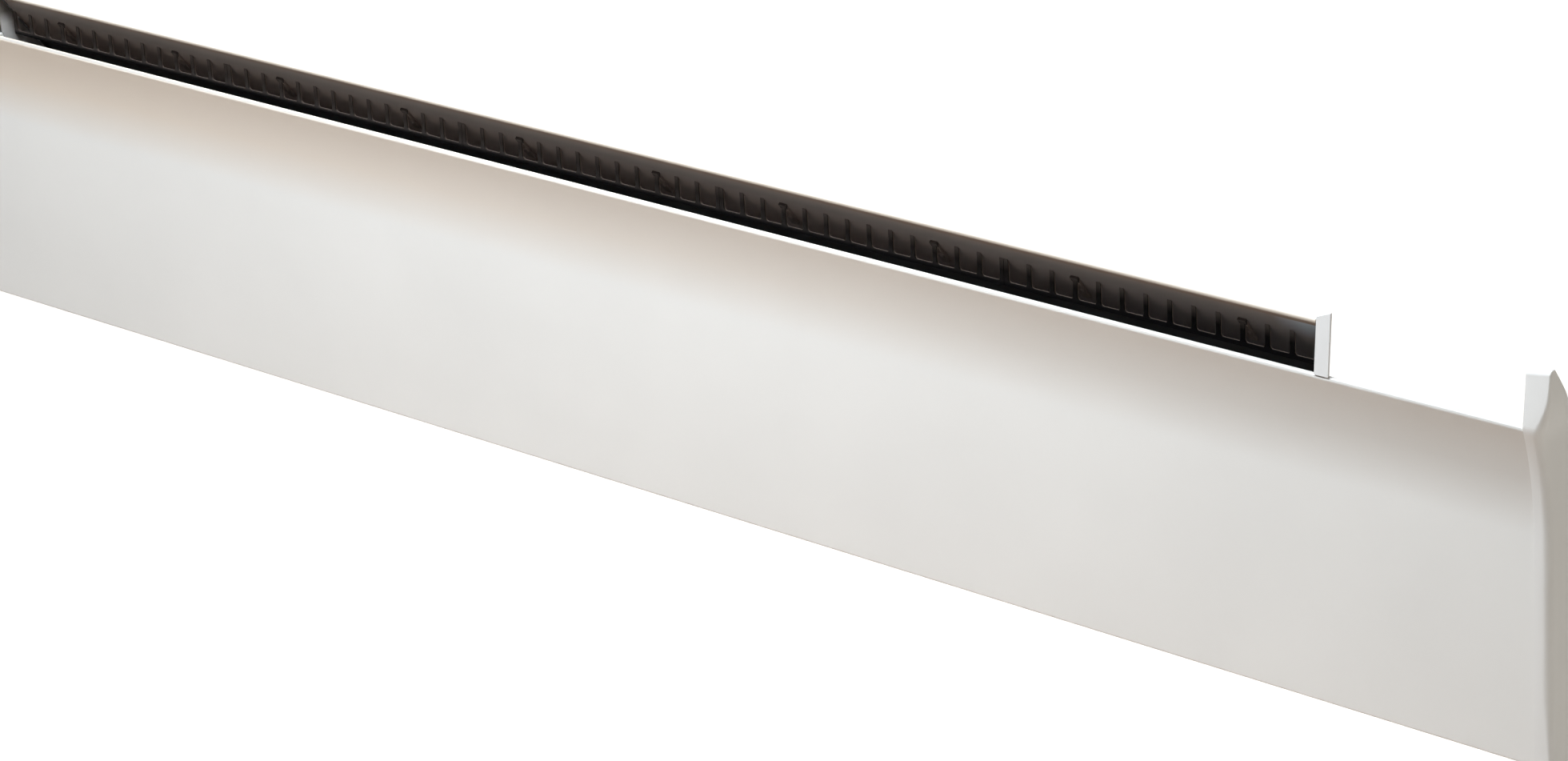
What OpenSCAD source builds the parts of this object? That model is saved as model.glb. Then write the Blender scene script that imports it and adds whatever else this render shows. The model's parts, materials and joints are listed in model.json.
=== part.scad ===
// Low wall-hung panel heater: a flared steel front, a sloping hood over a grilled air slot,
// moulded end caps, a finned heating element, a control bay at the right and a wall bracket.
// X runs along the heater, -Y faces the room, the wall is the plane Y = 0 and Z points up.

/* [Overall] */
// Length of the sheet between the two end caps
panel_len = 1200; // [1000:1:1400]
// Height of the front panel up to its lip
panel_h = 193; // [180:1:230]
// Distance from the wall to the front lip
depth = 90; // [84:1:110]
// Height of the air slot between lip and hood
outlet_h = 30; // [26:1:40]

/* [Front panel] */
// Thickness of the front sheet
panel_t = 1.2; // [0.8:0.1:2]
// Height over which the face flares forward
flare_h = 62; // [45:1:80]
// Radius of the flare
flare_r = 200; // [160:1:320]
// Lean of the flat part of the face
face_lean = 1.4; // [0:0.1:4]
// Depth of the folded lip
hem_depth = 4.4; // [4.4:0.1:7.5]
// Drop of the folded lip behind the face
hem_drop = 2.8; // [2.4:0.1:3.6]
// Flange under the front panel
panel_foot = 14; // [10:0.5:18]
// Hole in that flange for a fixing screw
foot_hole_r = 2; // [1.6:0.1:2.6]

/* [Rear casing] */
// Thickness of the casing sheet
casing_t = 1; // [0.7:0.1:1.4]
// Space between the wall and the casing
wall_gap = 18; // [16:0.5:24]
// Slope of the hood
hood_slope = 54; // [48:1:58]
// How far the hood's rim stands behind the lip
rim_setback = 2.7; // [2:0.1:4]
// Flat strip along the top of the rim
rim_flat = 3; // [2:0.1:4]
// Height of the rim's nose
nose_h = 3; // [2.5:0.1:5]
// Fold behind the nose
nose_return = 2.5; // [1.5:0.1:3]
// Flange under the rear casing
casing_foot = 12; // [9:0.5:16]
// Thickness of the dark liner under the hood
liner_t = 0.8; // [0.6:0.1:1.2]
// Thickness of the bright shield behind the element
shield_t = 0.8; // [0.6:0.1:1.2]
// Space between the casing and the shield
shield_gap = 3.2; // [2:0.1:5]

/* [Air slot] */
// Width of the control bay to the right of the slot
bay_w = 122.8; // [115:0.1:150]
// Width of the blank to the left of the slot
blank_w = 55.7; // [40:0.1:90]
// Width of the post to the right of the slot
post_w = 8.4; // [7:0.1:12]
// Thickness of the post and the blank
post_t = 1.5; // [1:0.1:2]
// How much higher the outer corner of the post stands
post_rise = 4.3; // [0:0.1:5]
// Lean of the post and the cap tops
post_lean = 2.6; // [1:0.1:4]
// Windows in each module
windows = 13; // [8:1:16]
// Width of the bars between the windows
bar_w = 2.6; // [2:0.1:4]
// Distance of the grille behind the lip
grille_setback = 15; // [13:0.5:18]
// Thickness of the grille plate
grille_t = 1.5; // [1:0.1:2]
// Height of the rail under the windows
rail_h = 2.2; // [1.5:0.1:3]
// How far the rail lies below the lip
rail_drop = 1.9; // [0:0.1:3]
// Angle of the cheek that turns warm air away from the controls
cheek_angle = 38; // [36:1:42]
// Thickness of the cheeks
cheek_t = 1; // [0.8:0.1:1.5]

/* [Air inlet] */
// Thickness of the inlet grille
inlet_t = 1; // [0.8:0.1:1.5]
// Pitch of the inlet slots
inlet_pitch = 20; // [16:1:30]
// Width of an inlet slot
inlet_slot_w = 9; // [6:0.5:11]

/* [End caps] */
// Width of an end cap
cap_w = 9.6; // [8:0.1:16]
// How much wider its crown is at the top
cap_spread = 4.3; // [0:0.1:6]
// How much higher the crown's outer corner stands
cap_rise = 2.7; // [0:0.1:4]
// Wall of an end cap
cap_wall = 2; // [1.6:0.1:2.5]
// How far a cap stands proud of the sheet
cap_proud = 0.6; // [0.3:0.1:1]
// Rounding of the cap's outer edge
cap_edge_r = 5; // [3:0.1:5.5]
// Rounding of that edge at the top of the crown
crown_edge_r = 0.6; // [0.4:0.1:0.8]

/* [Heating element] */
// Radius of the steel rod
rod_r = 3.2; // [2.5:0.1:4.5]
// Height of the element's middle above the bottom
element_z = 78; // [70:1:85]
// Span of the fins
fin_span = 40; // [30:1:44]
// Thickness of a fin
fin_t = 1.6; // [1.2:0.1:2.5]
// Pitch of the cuts that divide the fins
fin_pitch = 46; // [30:1:80]
// Width of those cuts
fin_cut = 3; // [2:0.5:6]

/* [Controls] */
// Height of the control deck below the lip
deck_drop = 41.5; // [38:0.5:46]
// Thickness of the deck
deck_t = 2.5; // [2:0.1:3.5]
// Radius of the thermostat knob
knob_r = 17; // [14:0.5:18]
// Height of the thermostat knob
knob_h = 13; // [10:0.5:14]
// Radius of the knob's spindle
spindle_r = 3; // [2.5:0.1:4]
// Running clearance of turning parts
run_gap = 0.06; // [0.04:0.01:0.1]
// Travel of the power rocker
rocker_travel = 14; // [10:1:16]

/* [Wall bracket] */
// Length of the wall bracket
bracket_len = 640; // [560:1:800]
// Height of the wall bracket
bracket_h = 74; // [68:1:80]
// Thickness of the wall bracket
bracket_t = 1.5; // [1.2:0.1:2.5]
// Distance between the screw columns
screw_dx = 500; // [440:1:520]
// Distance between the screw rows
screw_dz = 45; // [36:1:48]
// Radius of the screw holes
screw_r = 3; // [2:0.1:3.5]
// Lift needed to take the heater off its hooks
lift = 12; // [10:0.5:14]

/* [Hidden] */
$fn = 48;
grille_modules = 5;
part_gap = 0.3;                    // space between pieces that only lie beside each other
touch = 0.1;                       // space between faces that rest on each other
half = panel_len / 2;

// Side profile, as points [y, z] with z = 0 under the front panel
top_z = panel_h + outlet_h;
flare_z = panel_h - flare_h;
flare_cz = flare_z - flare_r * sin(face_lean);
flare_top = asin((panel_h - flare_cz) / flare_r);
flare_cy = -depth - flare_r * cos(flare_top);
flare_y = flare_cy + flare_r * cos(face_lean);
foot_y = flare_y + flare_z * tan(face_lean);
flare_steps = 20;
rim_y = -depth + rim_setback;
brow_y = rim_y + rim_flat;         // where the hood starts to slope
back_y = -wall_gap;                // outer face of the casing's back
shoulder_z = top_z - (back_y - brow_y) * tan(hood_slope);
inner_back = back_y - casing_t;
shield_y = inner_back - shield_gap;
shield_front = shield_y - shield_t;
hem_y = -depth + hem_depth;

// Slot, bay and deck
slot_x0 = -half + blank_w;
slot_x1 = half - bay_w;
deck_z = panel_h - deck_drop;      // top face of the deck
deck_under = deck_z - deck_t;
bay_back_z = deck_z + 2.5;
cheek_x = slot_x1 + 3;             // where the right cheek starts, behind its post
cheek_y = -depth + 4.9;
function cheek_at(y) = cheek_x - (y - cheek_y) * tan(cheek_angle);

// Where the control pieces stand
knob_x = half - 77;
switch_x = half - 32;
control_y = -depth + 40;
pipe_x = half - 52;
pipe_y = control_y + 18;
pivot_z = deck_z - 2.5;
knob_gap = 0.6;
board_z = deck_z - 30.5;
board_t = 1.6;
housing_x0 = half - 105;
housing_x1 = half - 9;
housing_y0 = -depth + 18.5;
housing_y1 = inner_back - 1.8;
housing_z0 = board_z - 46;
housing_wall = 2;

// Element
element_y = -depth + 42;
bracket_sheet = 1.2;
bracket_foot = 16;
fin_end = 14;                      // from the fins' end to the bracket beside it
shield_x0 = slot_x0 + cheek_t + 2;
shield_x1 = cheek_at(shield_y) - 2;
bracket_x = [shield_x0 + 5, (shield_x0 + shield_x1) / 2, shield_x1 - bracket_sheet - 1];
bracket_side = [1, 1, -1];         // which way each bracket's foot points
rod_x0 = bracket_x[0] - 5;
rod_x1 = bracket_x[2] + 12;
bush_r = rod_r + 1.9;
fin_runs = [[bracket_x[0] + fin_end, bracket_x[1] - fin_end],
    [bracket_x[1] + fin_end, bracket_x[2] - fin_end]];

// Wall bracket
screw_mid_z = 67.5;
hook_x = 220;
hook_w = 24;
hook_t = 2;
hook_tip = 8;
hook_reach = 7;                    // how far a hook reaches inside the casing
bracket_top = screw_mid_z + bracket_h / 2;
flange_y = back_y + 4;
spring_x = bracket_len / 2 - 30;
bumper_x = half - 37;
bumper_z = 25;

// Directions and outlines
function unit(v) = v / norm(v);
function left_of(v) = [-v[1], v[0]];
function vertex_normal(p, i) =
    let (last = len(p) - 1,
         a = i == 0 ? unit(p[1] - p[0]) : unit(p[i] - p[i - 1]),
         b = i == last ? a : unit(p[i + 1] - p[i]))
    (left_of(a) + left_of(b)) / (1 + a * b);
function shifted(p, t) = [for (i = [0:len(p) - 1]) p[i] + t * vertex_normal(p, i)];
function reversed(p) = [for (i = [len(p) - 1:-1:0]) p[i]];
function sheet(p, t) = concat(p, reversed(shifted(p, t)));
// An arc of radius r in place of the corner b between a and c, in the plane or in space
function corner(a, b, c, r, n = 4) = r == 0 ? [b] :
    let (u = unit(a - b), v = unit(c - b), h = acos(u * v) / 2, sweep = 180 - 2 * h,
         m = b + unit(u + v) * r / sin(h),
         s = b + u * r / tan(h) - m, e = b + v * r / tan(h) - m)
    [for (i = [0:n]) m + (sin(sweep * (1 - i / n)) * s + sin(sweep * i / n) * e) / sin(sweep)];
function rounded(p, r, n = 4) = concat([p[0]],
    [for (i = [1:len(p) - 2]) each corner(p[i - 1], p[i], p[i + 1], r[i], n)], [p[len(p) - 1]]);

// The face from its foot to its lip
function face_y(z) = z < flare_z ? flare_y + (flare_z - z) * tan(face_lean)
    : flare_cy + sqrt(pow(flare_r, 2) - pow(z - flare_cz, 2));
flare = [for (i = [0:flare_steps]) let (a = face_lean + (flare_top - face_lean) * i / flare_steps)
    [flare_cy + flare_r * cos(a), flare_cz + flare_r * sin(a)]];
lip = [-depth, panel_h];
// The hood's outer face, lowered by a distance square to it
function hood_z(y, under = 0) = top_z - (y - brow_y) * tan(hood_slope) - under / cos(hood_slope);
liner_under = casing_t + touch + liner_t;

module along(x0, x1) {
    translate([x0, 0, 0]) rotate([90, 0, 90]) linear_extrude(x1 - x0) children();
}

module hung() {
    translate([0, 0, -screw_mid_z]) children();
}

module panel_sheet() {
    bend = panel_t + 0.4;
    path = concat([[foot_y + panel_foot, 0]],
        corner([foot_y + panel_foot, 0], [foot_y, 0], [flare_y, flare_z], bend),
        [for (i = [0:flare_steps - 1]) flare[i]],
        corner(flare[flare_steps - 1], lip, [hem_y, panel_h], bend),
        corner(lip, [hem_y, panel_h], [hem_y, panel_h - hem_drop], bend),
        [[hem_y, panel_h - hem_drop]]);
    polygon(sheet(path, -panel_t));
}

// Screws through the lower flange
foot_screw_x = [for (i = [-2:2]) i * (panel_len - 80) / 4];
foot_edge = 5;                     // from a screw to its flange's edge
foot_rows = [foot_y + panel_foot - foot_edge, back_y - casing_foot + foot_edge];

module front_panel() {
    hung() color([0.9, 0.9, 0.88]) difference() {
        along(-half, half) panel_sheet();
        for (x = foot_screw_x) translate([x, foot_rows[0], -1]) cylinder(h = 4, r = foot_hole_r);
    }
}

module casing_sheet() {
    fold = [cos(hood_slope), -sin(hood_slope)];
    nose = [rim_y, top_z - nose_h];
    key = [[back_y - casing_foot, 0], [back_y, 0], [back_y, shoulder_z], [brow_y, top_z],
        [rim_y, top_z], nose, nose + nose_return * fold];
    bend = casing_t + 0.3;
    polygon(sheet(rounded(key, [0, bend, 10, bend, 2, bend, 0], 6), casing_t));
}

// Plan of what lies to the right of the slanting cheek, shifted left by s
module bay_plan(s = 0) {
    end_y = cheek_y + depth;
    polygon([[cheek_x - s, cheek_y - 20], [cheek_x - s, cheek_y], [cheek_at(end_y) - s, end_y],
        [half + 1, end_y], [half + 1, cheek_y - 20]]);
}

slot_w = hook_w + 6;
slot_h = hook_t + lift + 0.8;

module rear_casing() {
    cut_y = brow_y + 1.5;
    hung() color([0.88, 0.88, 0.86]) difference() {
        union() {
            difference() {
                along(-half, half) casing_sheet();
                translate([0, 0, shoulder_z - 12]) linear_extrude(top_z) bay_plan(part_gap);
                // a straight end of the nose at the right post
                translate([slot_x1 - part_gap, -depth - 1, shoulder_z])
                    cube([post_w + 4, cut_y + depth + 1, top_z]);
            }
            // back of the control bay
            translate([0, 0, shoulder_z - 12]) linear_extrude(bay_back_z - shoulder_z + 12)
                intersection() {
                    bay_plan(part_gap);
                    translate([slot_x1 - 2 * depth, inner_back])
                        square([half - slot_x1 + 2 * depth, casing_t]);
                }
        }
        for (x = [-hook_x, hook_x]) translate([x - slot_w / 2, inner_back - 1,
                bracket_top + touch * 2 - slot_h]) cube([slot_w, casing_t + 2, slot_h]);
        translate([gland_x, inner_back - 1, gland_z]) rotate([-90, 0, 0])
            cylinder(h = casing_t + 2, r = gland_r + touch);
        for (p = casing_screw_at) translate([p[0], inner_back - 1, p[1]]) rotate([-90, 0, 0])
            cylinder(h = casing_t + 2, r = casing_screw_r + touch);
        for (x = foot_screw_x) translate([x, foot_rows[1], -1]) cylinder(h = 4, r = foot_hole_r);
        for (x = [-bumper_x, bumper_x]) translate([x, inner_back - 1, bumper_z])
            rotate([-90, 0, 0]) cylinder(h = casing_t + 2, r = bumper_stem_r + touch);
    }
}

liner_front = brow_y + 3.2;        // the liner's upper edge lies just behind the rim's fold
liner_foot_z = shoulder_z - 10;

module hood_liner() {
    u = casing_t + touch;
    top = [liner_front, hood_z(liner_front, u)];
    bend_y = inner_back - touch;
    bend = [bend_y, hood_z(bend_y, u)];
    key = [[bend_y, liner_foot_z], bend, top];
    hung() color([0.3, 0.27, 0.26]) difference() {
        along(-half + part_gap, half - part_gap)
            polygon(sheet(rounded(key, [0, 10 - casing_t, 0]), liner_t));
        translate([0, 0, -1]) linear_extrude(top_z + 2) bay_plan(cheek_t + 2 * part_gap);
        translate([-half - 1, -depth, liner_foot_z - 1])
            cube([blank_w + cheek_t + 1 + 2 * part_gap, depth, top_z]);
        at_rivets() cylinder(h = 12, r = rivet_r + touch, center = true);
    }
}

shield_z0 = 22;
shield_z1 = liner_foot_z - 2;

module heat_shield() {
    hung() color([0.75, 0.76, 0.77]) difference() {
        translate([shield_x0, shield_front, shield_z0])
            cube([shield_x1 - shield_x0, shield_t, shield_z1 - shield_z0]);
        for (x = [-hook_x, hook_x]) translate([x - slot_w / 2 - 3, shield_front - 1,
                bracket_top - slot_h - 4])
            cube([slot_w + 6, shield_t + 2, slot_h + hook_tip + 8]);
        for (p = shield_screw_at) translate([p[0], shield_front - 1, p[1]]) rotate([-90, 0, 0])
            cylinder(h = shield_t + 2, r = casing_screw_r + touch);
    }
}

casing_screw_r = 2;
bracket_foot_z = [element_z - 16, element_z + 16];
shield_screw_at = [for (i = [0:2], z = bracket_foot_z) [foot_mid(i), z]];
function foot_mid(i) = bracket_x[i] + (bracket_side[i] > 0 ? bracket_foot / 2
    : bracket_sheet - bracket_foot / 2);
housing_screw_at = [for (x = [housing_x0 + 20, housing_x1 - 20]) [x, housing_z0 + 30]];
casing_screw_at = concat(shield_screw_at, housing_screw_at);

module shield_spacers() {
    hung() color([0.7, 0.7, 0.7])
        for (p = shield_screw_at) translate([p[0], shield_y + touch / 2, p[1]])
            rotate([-90, 0, 0]) difference() {
                cylinder(h = shield_gap - touch, r = casing_screw_r + 2.5);
                translate([0, 0, -1]) cylinder(h = shield_gap + 2, r = casing_screw_r + touch);
            }
}

// One grille module: a comb of bars on a rail, held by two tabs riveted under the liner
grille_y = -depth + grille_setback;
grille_x0 = slot_x0 + cheek_t;
grille_x1 = cheek_at(grille_y + grille_t) - part_gap;
module_len = (grille_x1 - grille_x0) / grille_modules;
window_pitch = (module_len - part_gap - bar_w) / windows;
window_z0 = panel_h - rail_drop + rail_h;
grille_flange = 18;
tab_w = 5;
tab_bars = [floor(windows / 4), windows - floor(windows / 4)];
rivet_r = 1.2;
rivet_y = grille_y + (grille_flange - 5) * cos(hood_slope);
function module_x(m) = grille_x0 + m * module_len + part_gap / 2;
function bar_mid(m, k) = module_x(m) + k * window_pitch + bar_w / 2;
rivet_x = [for (m = [0:grille_modules - 1], k = tab_bars) bar_mid(m, k)];

module outlet_grille(m) {
    u = liner_under + touch;
    x0 = module_x(m);
    elbow = [grille_y, hood_z(grille_y, u)];
    tab_y = grille_y + grille_flange * cos(hood_slope);
    tab_end = [tab_y, hood_z(tab_y, u)];
    front_bottom = [grille_y, panel_h - rail_drop];
    hung() color([0.1, 0.1, 0.1]) difference() {
        union() {
            difference() {
                along(x0, x0 + module_len - part_gap)
                    polygon([front_bottom, front_bottom + [grille_t, 0],
                        [grille_y + grille_t, hood_z(grille_y + grille_t, u)], elbow]);
                translate([0, grille_y - 1, 0]) rotate([90, 0, 0]) mirror([0, 0, 1])
                    linear_extrude(grille_t + 2) for (k = [0:windows - 1])
                        translate([bar_mid(m, k) + bar_w / 2, window_z0])
                            window(window_pitch - bar_w, outlet_h, 1.8);
            }
            for (k = tab_bars) along(bar_mid(m, k) - tab_w / 2, bar_mid(m, k) + tab_w / 2)
                polygon(sheet([elbow, tab_end], -grille_t));
        }
        at_rivets() cylinder(h = 12, r = rivet_r + touch, center = true);
    }
}

module window(w, h, r) {
    translate([r, 0]) square([w - 2 * r, h]);
    translate([0, r]) square([w, h - 2 * r]);
    for (x = [r, w - r], y = [r, h - r]) translate([x, y]) circle(r, $fn = 24);
}

// Square to the hood at each rivet
module at_rivets() {
    for (x = rivet_x) translate([x, rivet_y, hood_z(rivet_y)]) rotate([-hood_slope, 0, 0]) children();
}

module grille_rivets() {
    grip = liner_t + grille_t + 3 * touch;
    hung() color([0.2, 0.2, 0.2]) at_rivets() mirror([0, 0, 1]) translate([0, 0, casing_t + touch / 2]) {
        cylinder(h = grip, r = rivet_r, $fn = 24);
        translate([0, 0, grip - touch / 2])
            cylinder(h = 0.8, r1 = rivet_r + 1.1, r2 = rivet_r + 0.4, $fn = 24);
    }
}

// An upright strip on the lip, with a foot that hooks over the lip's fold
post_y = -depth + 0.4;
post_hook = 7;
heel_y = hem_y + post_t + touch;

module upright(x0, width, top, foot_len) {
    z0 = panel_h + touch;
    lean_y = post_lean * (top - z0) / outlet_h;
    along(x0, x0 + width) polygon([[post_y, z0], [post_y + lean_y, top],
        [post_y + lean_y + post_t, top], [post_y + post_t, z0]]);
    along(x0, x0 + foot_len) polygon([[post_y + post_t / 2, z0], [post_y + post_t / 2, z0 + 1],
        [heel_y, z0 + 1], [heel_y, panel_h - post_hook], [hem_y + touch, panel_h - post_hook],
        [hem_y + touch, z0]]);
}

module outlet_blank() {
    top = top_z - nose_h - nose_return - part_gap;
    hung() color([0.92, 0.92, 0.92]) upright(-half + part_gap, blank_w - part_gap, top, blank_w - part_gap);
}

// The post's outer corner is its higher one
module outlet_post() {
    x0 = slot_x1;
    x1 = slot_x1 + post_w;
    high = top_z + post_rise + 1;
    hung() color([0.92, 0.92, 0.92]) difference() {
        upright(x0, post_w, high, 0.3 * post_w);
        translate([0, -1, 0]) rotate([90, 0, 0]) linear_extrude(depth)
            polygon([[x0 - 1, top_z], [x1 + 1, top_z + post_rise], [x1 + 1, high + 1], [x0 - 1, high + 1]]);
    }
}

// The space between front and casing, as a cheek fills it
function air_space(c) = concat(
    [[foot_y + panel_t + c, panel_t + c + 1.6]],
    [for (i = [0:4:flare_steps - 6]) flare[i] + [panel_t + c, 0]],
    [[hem_y + post_t + 2 * touch + c, panel_h - hem_drop - 2 - c],
     [hem_y + post_t + 2 * touch + c, panel_h + 1 + touch + c],
     [-depth + post_t + post_lean + 1, panel_h + 1 + touch + c],
     [-depth + post_t + post_lean + 1, top_z - nose_h - c - 1]]);

module air_cheek_left() {
    c = part_gap;
    key = concat(air_space(c), [[brow_y + 1.8, hood_z(brow_y + 1.8, casing_t + c) - 2],
        [inner_back - c, hood_z(inner_back - c, casing_t + c) - 3], [inner_back - c, panel_t + c + 1.6]]);
    hung() color([0.85, 0.85, 0.85])
        along(slot_x0 - part_gap, slot_x0 - part_gap + cheek_t) polygon(key);
}

module air_cheek_right() {
    c = part_gap;
    key = concat(air_space(c), [[brow_y, top_z], [back_y - casing_t - c, hood_z(back_y - casing_t - c)],
        [inner_back - c, panel_t + c + 1.6]]);
    hung() color([0.9, 0.9, 0.9]) difference() {
        intersection() {
            along(slot_x1 - 2 * depth, slot_x1 + post_w) polygon(key);
            linear_extrude(top_z + 5) difference() {
                bay_plan(0);
                bay_plan(-cheek_t);
            }
        }
        translate([slot_x1 - depth, element_y - 8, element_z - 8]) cube([2 * depth, 16, 16]);
    }
}

// End cap. Its side outline is a list of heights with a front and a back point at each
cap_top = top_z + 0.5;
crown_fall = 5.2;                  // height over which the crown's top meets the hood's slope
cap_levels = concat([-cap_proud, 0.6, 3, 40, 85], [for (i = [0:2:flare_steps]) flare[i][1]],
    [for (i = [1:6]) panel_h + i * (outlet_h - crown_fall) / 6],
    [for (h = [3.5, 2, 0.8, 0]) cap_top - h]);
// 0 at the lip and below, 1 at the top of the crown: evenly, and with a soft start and end
function up(z) = max(0, z - panel_h) / (cap_top - panel_h);
function crown(z) = up(z) * up(z) * (3 - 2 * up(z));
function hood_y(z) = min(brow_y + (top_z - z) / tan(hood_slope), back_y) + cap_proud;
function cap_front(z) = (z > panel_h ? -depth + post_lean * up(z) : face_y(z)) - cap_proud
    + max(0, 0.6 - z);
function cap_back(z) = lookup(cap_top - z, [[0, brow_y - 0.9], [2, brow_y + 0.2],
    [crown_fall, hood_y(cap_top - crown_fall)]]);
function cap_back_at(z) = z > cap_top - crown_fall ? cap_back(z) : hood_y(z) - max(0, 0.6 - z);

function outline_of(front, back) = concat(front, reversed(back));
cap_outline = outline_of([for (z = cap_levels) [cap_front(z), z]],
    [for (z = cap_levels) [cap_back_at(z), z]]);

// The hollow inside: straight up to its spring, with an arch that ends under the deck
arch_z = 118;
arch_h = deck_under - 1 - arch_z;
hollow_y0 = cap_front(arch_z) + cap_wall;
hollow_y1 = cap_back_at(arch_z) - cap_wall;
arch_y = (hollow_y0 + hollow_y1) / 2;
hollow_levels = [cap_wall, cap_wall + 1.2, cap_wall + 3.6, cap_levels[3], cap_levels[4]];
arch_levels = [for (i = [len(hollow_levels):len(cap_levels) - 1]) cap_levels[i]];
// A point of the arch below the outline's point at y, z; way is -1 at the front and 1 at the back
function arch(y, z, way) = let (a = 0.8 * atan2(z - arch_z, way * (y - arch_y))
        + 17 * (z - arch_z) / (cap_top - arch_z))
    [arch_y + way * (hollow_y1 - arch_y) * cos(a), arch_z + arch_h * sin(a)];
cap_hollow = outline_of(
    concat([for (z = hollow_levels) [cap_front(z) + cap_wall, z]],
        [for (z = arch_levels) arch(cap_front(z), z, -1)]),
    concat([for (z = hollow_levels) [hollow_y1, z]], [for (z = arch_levels) arch(cap_back_at(z), z, 1)]));

// Radius of the rounded outer edge at a height
function edge_at(z) = z > panel_h ? crown_edge_r + (cap_edge_r - crown_edge_r) * pow(1 - up(z), 2)
    : lookup(z, [[-cap_proud, 1], [3, 1.8], [40, cap_edge_r]]);
function turned(p, i) = let (n = len(p), a = unit(p[i] - p[(i + n - 1) % n]), b = unit(p[(i + 1) % n] - p[i]))
    (left_of(a) + left_of(b)) / (1 + a * b);

// Rings of a skin: the open one at the sheet, then those of the rounded outer edge
function skin(p, inset, rise, steps) = let (n = len(p))
    concat([[for (i = [0:n - 1]) [0, p[i][0], p[i][1] - rise * crown(p[i][1])]]],
        [for (k = [0:steps]) [for (i = [0:n - 1])
            let (a = 90 * k / steps, c = crown(p[i][1]), w = cap_w - inset + cap_spread * c,
                r = max(edge_at(p[i][1]) - inset, 0.5), x = w - r + r * sin(a),
                q = p[i] - r * (1 - cos(a)) * turned(p, i))
            [x, q[0], q[1] - rise * c * (1 - x / w)]]]);

module end_cap() {
    rings = concat(reversed(skin(cap_outline, 0, cap_rise, 5)), skin(cap_hollow, cap_wall, 0, 3));
    n = len(cap_outline);
    last = (len(rings) - 1) * n;
    polyhedron(points = [for (ring = rings) each ring], faces = concat(
        [for (j = [0:n / 2 - 2]) each [[n - 1 - j, n - 2 - j, j + 1], [n - 1 - j, j + 1, j]]],
        [for (j = [0:n / 2 - 2]) each [[last + j, last + j + 1, last + n - 2 - j],
            [last + j, last + n - 2 - j, last + n - 1 - j]]],
        [for (k = [0:n:last - n], i = [0:n - 1]) let (j = (i + 1) % n)
            each [[k + i, k + j, k + n + j], [k + i, k + n + j, k + n + i]]]));
}

module end_cap_right() {
    hung() color([0.9, 0.9, 0.88]) translate([half + part_gap / 3, 0, 0]) end_cap();
}

module end_cap_left() {
    hung() color([0.9, 0.9, 0.88]) mirror([1, 0, 0]) translate([half + part_gap / 3, 0, 0]) end_cap();
}

// The floor of the heater: a slotted plate screwed onto the two lower flanges
module inlet_grille() {
    y0 = foot_y + panel_t + 4;
    y1 = inner_back - part_gap;
    slot_y0 = foot_y + panel_foot + 2;
    slot_y1 = back_y - casing_foot - 2;
    slots = floor((panel_len - 2 * inlet_pitch) / inlet_pitch / 2);
    hung() color([0.2, 0.2, 0.2]) translate([0, 0, panel_t + touch]) linear_extrude(inlet_t)
        difference() {
            translate([-half + part_gap, y0]) square([panel_len - 2 * part_gap, y1 - y0]);
            for (i = [-slots:slots]) translate([i * inlet_pitch - inlet_slot_w / 2, slot_y0])
                window(inlet_slot_w, slot_y1 - slot_y0, inlet_slot_w / 3);
            for (x = foot_screw_x, y = foot_rows) translate([x, y]) circle(foot_hole_r);
        }
}

// Extruded fins in a cross around the rod, cut across so that they can grow when hot
module element_fins() {
    wing = fin_span / 2;
    cut_z = rod_r + 4;
    hung() color([0.8, 0.8, 0.82]) for (run = fin_runs) difference() {
        translate([run[0], element_y, element_z]) rotate([90, 0, 90])
            linear_extrude(run[1] - run[0]) difference() {
                union() {
                    circle(rod_r + 2);
                    for (a = [50, 130, 230, 310]) rotate(a) {
                        translate([0, -fin_t / 2]) square([wing, fin_t]);
                        translate([wing - fin_t, -4]) square([fin_t, 8]);
                    }
                }
                circle(rod_r + run_gap);
            }
        for (x = [run[0] + fin_pitch:fin_pitch:run[1] - fin_pitch / 2], z = [cut_z, -cut_z - wing])
            translate([x, element_y - wing, element_z + z]) cube([fin_cut, fin_span, wing]);
    }
}

module element_rod() {
    hung() color([0.55, 0.53, 0.5]) translate([rod_x0, element_y, element_z]) rotate([0, 90, 0])
        cylinder(h = rod_x1 - rod_x0, r = rod_r);
}

pin_r = 0.9;
pin_len = 6;
pin_gap = 1.5;

module element_terminals() {
    hung() color([0.7, 0.68, 0.6])
        for (dy = [-pin_gap, pin_gap]) translate([rod_x1, element_y + dy, element_z]) rotate([0, 90, 0])
            cylinder(h = pin_len, r = pin_r, $fn = 24);
}

module element_bushes() {
    hung() color([0.93, 0.91, 0.85]) for (x = bracket_x)
        translate([x - 4 + bracket_sheet / 2, element_y, element_z]) rotate([0, 90, 0]) difference() {
            union() {
                cylinder(h = 8, r = bush_r);
                cylinder(h = 3, r = bush_r + 2);
            }
            translate([0, 0, -1]) cylinder(h = 10, r = rod_r + run_gap);
        }
}

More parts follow.
